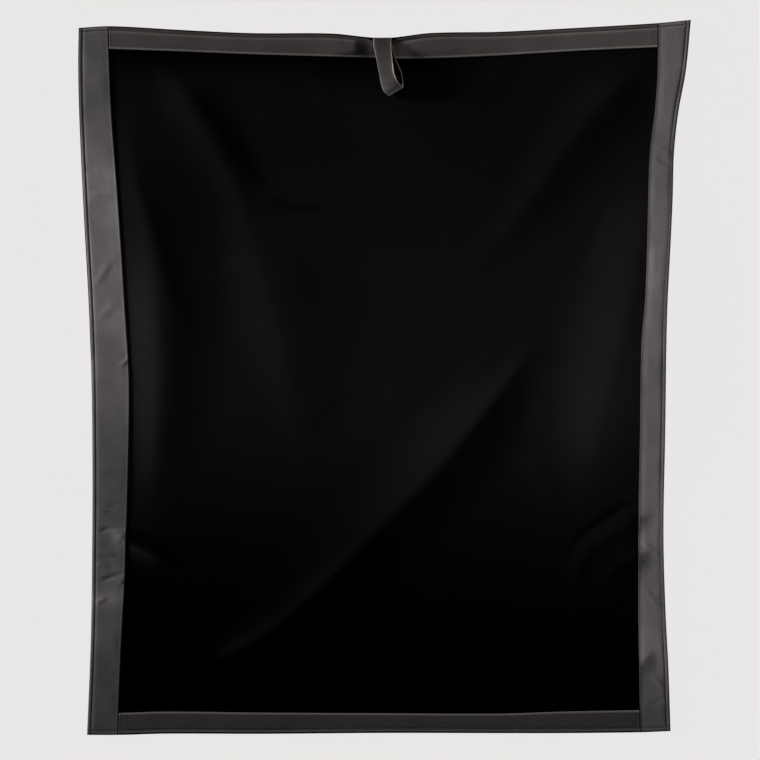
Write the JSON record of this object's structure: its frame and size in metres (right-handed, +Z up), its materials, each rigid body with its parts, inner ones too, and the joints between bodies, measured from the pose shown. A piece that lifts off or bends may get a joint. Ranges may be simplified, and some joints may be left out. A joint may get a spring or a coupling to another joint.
{
  "type": "flat pouf cover with leather border and hanging loop",
  "caption": "Flat rectangular black cloth cover edged with grey leather strips, with a leather hanging loop in the middle of its top edge, lying face up in soft folds.",
  "frame": {"origin": "middle of the cover's outline, on the surface that it lies on", "axes": "+X across the cover to its right as seen from above, +Y up its length towards the hanging loop, +Z up from the surface"},
  "size_m": [0.6896, 0.8046, 0.0227],
  "materials": {
    "black_cloth": "dense black felted cloth, matt with a faint sheen on the folds",
    "grey_leather": "dark warm grey leather, fine grain, satin, topstitched in grey thread"
  },
  "bodies": {
    "root": {"cloth_panel": "black_cloth", "border_left": "grey_leather", "border_right": "grey_leather", "border_top": "grey_leather", "border_bottom": "grey_leather", "hanging_loop": "grey_leather"}
  },
  "joints": []
}
